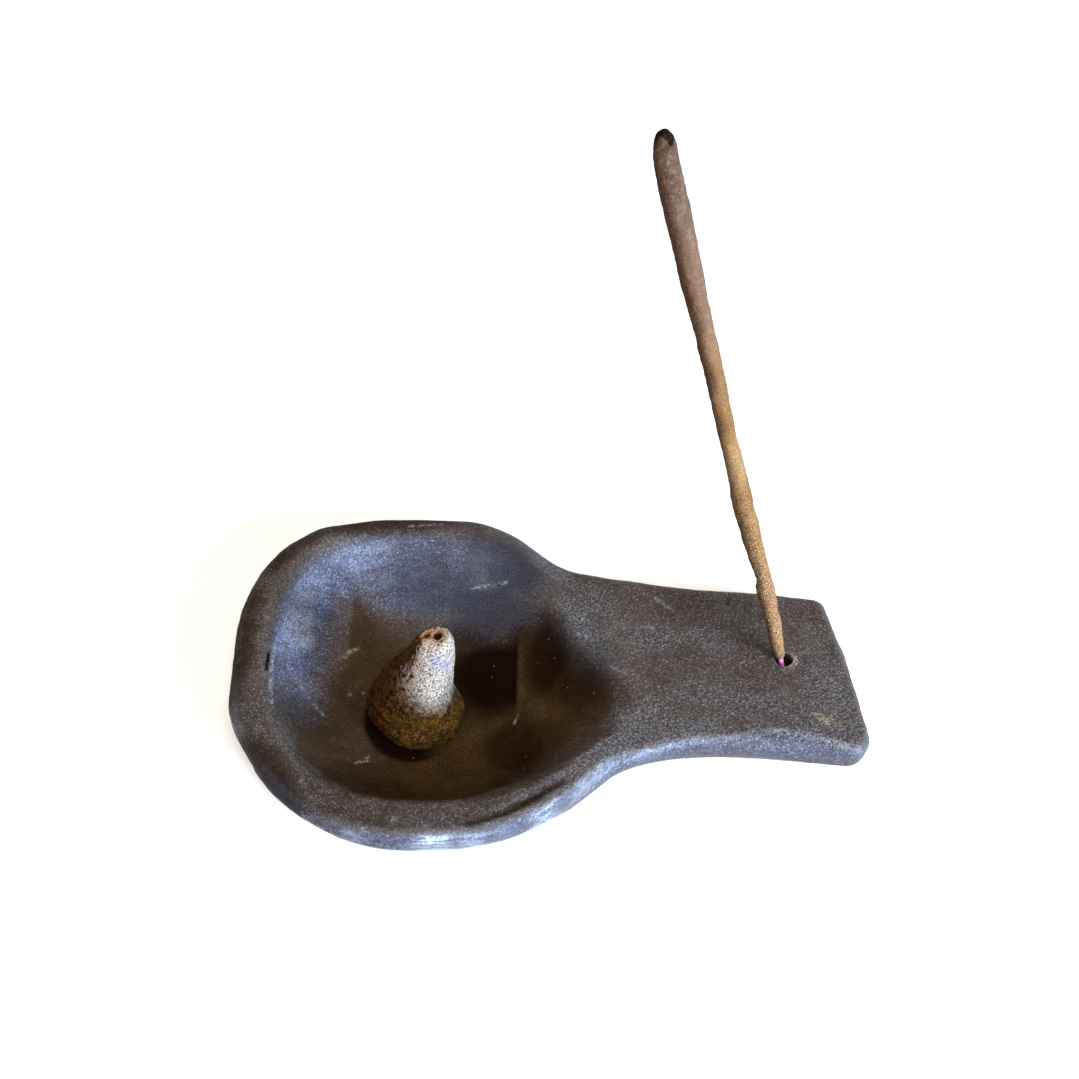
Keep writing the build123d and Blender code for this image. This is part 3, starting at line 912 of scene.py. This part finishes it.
def sculpt_paste():
    sides = 84
    shape = get_points(frame["nodes"]["stick_paste"].data)
    low = ((shape - STICK_FOOT) @ ALONG).min()
    high = ((shape - STICK_FOOT) @ ALONG).max()
    spans = np.concatenate([
        np.linspace(low + 0.02, low + 3, 24)[:-1], np.linspace(low + 3, high - 3, 700)[:-1],
        high - 3 * (1 - np.linspace(0, 1, 34) ** 0.8) - 0.04])
    points = traced("stick_paste", spans, sides)
    span = np.repeat(spans, sides)
    turn = np.tile(round_turn(sides), len(spans))
    middle = STICK_FOOT + span[:, None] * ALONG
    arm = points - middle
    radius = np.linalg.norm(arm, axis=1)
    way = arm / radius[:, None]
    local = np.column_stack([np.cos(turn) * radius, np.sin(turn) * radius, span])

    left = 0.5 - 0.5 * np.cos(turn)                      # 1 on the bowl's side
    change = (0.09 * lumps(local, (2.2, 2.2, 3.5), 51) + 0.05 * lumps(local, 0.9, 52)
              + 0.035 * lumps(local, 0.42, 53) + 0.03 * lumps(local, 0.22, 54))
    # Flats and a faint spiral from rolling by hand.
    change += 0.05 * np.cos(2 * turn + span * 0.16) + 0.02 * np.cos(3 * turn - span * 0.31)
    # A chip in the bowl's side, with a sharp upper ledge.
    chip = smooth(28.6, 29.6, span) * smooth(31.9, 31.5, span + 0.25 * lumps(local, 0.8, 55))
    change -= 0.22 * chip * smooth(0.45, 0.8, left)
    flake = smooth(26.2, 26.6, span) * smooth(28.2, 27.2, span)
    change += 0.07 * flake * smooth(0.5, 0.8, left)
    # The lower end is ragged, and tapers on to the splint.
    from_end = span - low
    change += -0.16 * np.exp(-from_end / 1.3) * (0.6 + 0.9 * lumps(local, 0.7, 56))
    fade = smooth(0.0, 1.0, high - span)
    radius = np.maximum(radius + change * (0.25 + 0.75 * fade), 0.20)
    # The lit end has burnt to a shallow hollow.
    points = middle + way * radius[:, None]
    sag = -0.25 * hump(span - high, 0.3) * smooth(0.9, 0.2, radius)
    points += sag[:, None] * ALONG

    mesh = bpy.data.meshes.new("incense_stick")
    mesh.from_pydata([tuple(p) for p in kept_in_box(points, "stick_paste") * MM], [],
                     rings(len(spans), sides))
    piece = linked("incense_stick", mesh)
    paint(mesh, "along", (span - low) / (high - low))
    tip = high - span
    edge = tip + 1.2 * lumps(local, 1.3, 57) + 0.5 * lumps(local, 0.5, 58)
    right = 0.5 + 0.5 * np.cos(turn)
    # Painted shade on the stick's side towards the bowl.
    painted_side_shade = smooth(0.35, 0.98, left + 0.22 * lumps(local, (2.0, 2.0, 5.0), 59))
    paint(mesh, "painted_side_shade", 0.90 * painted_side_shade)
    paint(mesh, "char", np.maximum(smooth(3.4 - 1.8 * right, 0.4, edge),
                                   0.5 * smooth(0.3, 0.1, from_end)))
    return piece


def sculpt_core():
    sides = 24
    spans = np.concatenate([np.linspace(0.03, 8, 70)[:-1], np.linspace(8, CORE_LENGTH - 0.03, 90)])
    points = traced("stick_core", spans, sides)
    span = np.repeat(spans, sides)
    turn = np.tile(round_turn(sides), len(spans))
    middle = STICK_FOOT + span[:, None] * ALONG
    arm = points - middle
    # A split splint: a little square, with grooves that run along its fibres.
    groove = lumps(np.column_stack([np.cos(turn) * 3, np.sin(turn) * 3, span * 0.04]), 0.9, 61)
    share = 0.95 + 0.03 * np.cos(4 * turn + 0.6) + 0.03 * groove
    share *= 1 - 0.25 * np.exp(-span / 0.35)
    mesh = bpy.data.meshes.new("bamboo_splint")
    moved = kept_in_box(middle + arm * np.minimum(share, 1.0)[:, None], "stick_core")
    mesh.from_pydata([tuple(p) for p in moved * MM], [], rings(len(spans), sides))
    return linked("bamboo_splint", mesh)


# --- cone ---
ash_and_light_outline = [
    (0, 18.5), (-2.4, 14.5), (-4.4, 10.5), (-4.2, 6.5), (-2, 2.5), (1.2, 0.2), (4.6, 0.4),
    (6.8, 2.4), (8, 4.4), (12, 5.6), (13, 9), (11, 19)]


def sculpt_cone():
    piece = remeshed("incense_cone_moulded", "incense_cone", 0.17)
    mesh = piece.data
    points = get_points(mesh)
    normals = get_normals(mesh)
    low, high = node_box("incense_cone")
    height = points[:, 2] - low[2]
    top = high[2] - low[2]
    side = smooth(0.0, 0.6, height)

    rng = np.random.default_rng(71)
    change = (0.22 * lumps(points, 6.0, 72) + 0.11 * lumps(points, 2.2, 73)
              + 0.08 * lumps(points, 0.9, 74) + 0.06 * lumps(points, 0.45, 75))
    pits = np.zeros(len(points))
    outer = points[(height > 1.5) & (height < top - 1)]
    for place in outer[rng.integers(0, len(outer), 70)]:
        width, depth = rng.uniform(0.2, 0.5), rng.uniform(0.06, 0.22)
        gap = np.linalg.norm(points - place, axis=1)
        pits = np.maximum(pits, depth * hump(gap, width))
    change -= pits

    # Folds where the moulded skin overlaps, on the right and on the left: path, width, depth.
    folds = [
        ([(8.2, -4, 13.4), (7.4, -9, 12.9), (6.2, -12, 12.2), (3.5, -14.6, 11.8)],
         0.40, 0.45),
        ([(-9, -6, 12.6), (-8, -10.5, 12), (-5.6, -13.6, 11.6), (-3.8, -14.8, 11.6)],
         0.45, 0.60),
        ([(-8.6, -4.5, 14.6), (-7.4, -9, 14.8), (-6, -11.5, 14.2)], 0.35, 0.40)]
    crease = np.zeros(len(points))
    ragged = 0.25 * lumps(points, 1.5, 76)
    for path, width, depth in folds:
        gap, along = to_line(points, path)
        crease = np.maximum(crease, depth * hump(gap + ragged, width) * ends(along, 0.15, 0.8))
    change -= crease * 0.8

    # The right side is pressed in above its foot and swells further up, and the near left side
    # is flattened low down: place, width, depth.
    dents = [
        ((8.4, -6.8, 12.8), 3.3, 0.95), ((8, -2.6, 9.6), 3, 0.95),
        ((7.4, -7, 18), 2.6, -0.25), ((7.2, -6.5, 26.5), 2.5, -0.30),
        ((-8, -14.5, 5.5), 4.5, 0.9)]
    for place, width, depth in dents:
        change -= depth * hump(np.linalg.norm(points - place, axis=1), width)

    # Two pits in the blunt tip, and a crumbled rim round them.
    tip = points[height > top - 0.3].mean(axis=0)
    holes = np.zeros(len(points))
    around = np.full(len(points), 9.0)
    for dx, dy, width, depth in [(-1.5, 0.7, 0.50, 0.8), (0.5, 0.4, 0.75, 1.3)]:
        gap = np.linalg.norm(points - (tip + (dx, dy, 0)), axis=1)
        around = np.minimum(around, gap)
        holes = np.maximum(holes, depth * hump(gap, width))
    crumble = smooth(top - 2.2, top, height) * 0.22 * lumps(points, 0.8, 77)
    points = points + normals * ((change * side + crumble)[:, None])
    points[:, 2] -= holes
    # The base is undercut on the near left.
    lean = smooth(0.0, 1.0, -(normals[:, 0] * 0.75 + normals[:, 1] * 0.65))
    tuck = smooth(2.0, 0.0, height) * lean * 0.5
    points[:, :2] -= normals[:, :2] * tuck[:, None]
    points[:, 2] = np.where(height < 0.12, low[2], points[:, 2])
    set_points(mesh, kept_in_box(points, "incense_cone"))

    normals = get_normals(mesh)
    # Ash covers the front and right from the tip down, painted only on faces that turn to the
    # window, so it is partly painted light. Its outline is drawn on a plane that faces the near
    # side from 46 degrees above: to the right, and up the plane.
    wander = lumps(points, 3.0, 81) + 0.5 * lumps(points, 1.2, 82)
    share = height / top
    lift = math.radians(46)
    front = np.column_stack([points[:, 0], points[:, 2] * math.cos(lift)
                             + points[:, 1] * math.sin(lift)])
    facing = smooth(-0.25, 0.35, normals @ np.array((0.62, -0.70, 0.35)))
    ash_and_light = smooth(3.0, -5.4, outside(front, ash_and_light_outline) + 0.7 * wander) * facing
    paint(mesh, "ash_and_light", ash_and_light)
    # Painted light: the ash is brighter to the right.
    paint(mesh, "painted_light_side", smooth(-4.0, 5.5, front[:, 0] + 0.15 * (front[:, 1] - 7) + 0.8 * wander))
    tints = [((4.4, 10.6), 1.2), ((-2.2, 9.0), 1.5), ((6.0, 9.4), 1.0)]
    paint(mesh, "tint", facing * np.maximum.reduce([
        hump(np.linalg.norm(front - place, axis=1), width) for place, width in tints]))
    paint(mesh, "tan", smooth(2.2, 0.9, around + 0.3 * wander) * 0.85)
    left = smooth(0.35, -0.35, normals[:, 0] + 0.15 * wander)
    paint(mesh, "spots", left * smooth(0.15, 0.3, share) * smooth(0.9, 0.7, share))
    # Darker in the tip's pits, with painted shade in the folds and round the foot.
    dark_pits_and_shade = np.maximum(smooth(0.10, 0.7, holes), smooth(0.10, 0.4, crease) * 0.85)
    paint(mesh, "dark_pits_and_shade", np.maximum(dark_pits_and_shade, smooth(0.9, 0.0, height) * 0.5))
    return piece


# --- pieces ---
dish = sculpt_dish()
paint_dish(dish)
finished(dish, "dish", "dish", "clay", clay_material("fired_clay", CLAY_SPECULAR),
         clay_material("sooted_clay", SOOT_SPECULAR))
matt_faces(dish)
finished(sculpt_paste(), "stick_paste", "stick", "stick_incense", paste_material())
finished(sculpt_core(), "stick_core", "stick", "dyed_bamboo", core_material())
finished(sculpt_cone(), "incense_cone", "cone", "cone_incense", cone_material())

# --- floor, light and camera ---
half_floor = 2.5
floor_drop = 2e-5          # keeps it just clear of the dish's underside
corners = [(-1, -1), (1, -1), (1, 1), (-1, 1)]
floor_mesh = bpy.data.meshes.new("studio_floor")
floor_mesh.from_pydata([(x * half_floor, y * half_floor, -floor_drop) for x, y in corners], [],
                       [(0, 1, 2, 3)])
floor = linked("studio_floor", floor_mesh)
paper = Shader("pale_floor")
paper.feed(paper.surface, "Base Color", paper.mixed(
    paper.step(paper.noise(40.0, 3.0), 0.3, 0.7), rgb(238, 241, 247), rgb(242, 245, 250)))
paper.surface.inputs["Roughness"].default_value = 0.9
paper.surface.inputs["Specular IOR Level"].default_value = 0.1
floor_mesh.materials.append(paper.material)

target = (cad_low + cad_high) / 2
target.z = cad_low.z


def area_light(name, place, size, power, colour):
    """A round lamp at a place from the target, in metres and watts, aimed at the target."""
    data = bpy.data.lights.new(name, "AREA")
    data.energy, data.color = power, colour
    data.shape, data.size = "DISK", size
    lamp = bpy.data.objects.new(name, data)
    bpy.context.scene.collection.objects.link(lamp)
    lamp.location = target + Vector(place)
    lamp.rotation_euler = (target - lamp.location).to_track_quat("-Z", "Y").to_euler()


area_light("window", (1.16, -1.00, 0.46), 0.70, 78.0, (0.54, 0.74, 1.0))
area_light("ceiling", (0.10, -0.80, 1.60), 1.2, 40.0, (1.0, 0.91, 0.80))

scene = bpy.context.scene
world = bpy.data.worlds.new("soft_room")
scene.world = world
world.use_nodes = True
room = world.node_tree.nodes["Background"]
room.inputs["Color"].default_value = (1.0, 0.92, 0.84, 1.0)
room.inputs["Strength"].default_value = 0.28

camera_data = bpy.data.cameras.new("camera")
camera_data.sensor_width = 36.0
camera_data.lens = 37.768
camera_data.clip_start = 0.01
camera = bpy.data.objects.new("camera", camera_data)
scene.collection.objects.link(camera)
camera.location = (0.023, -0.135, 0.186)
camera.rotation_euler = (math.radians(44), 0, 0)
scene.camera = camera
scene.view_settings.view_transform = "Standard"

bpy.context.view_layer.update()
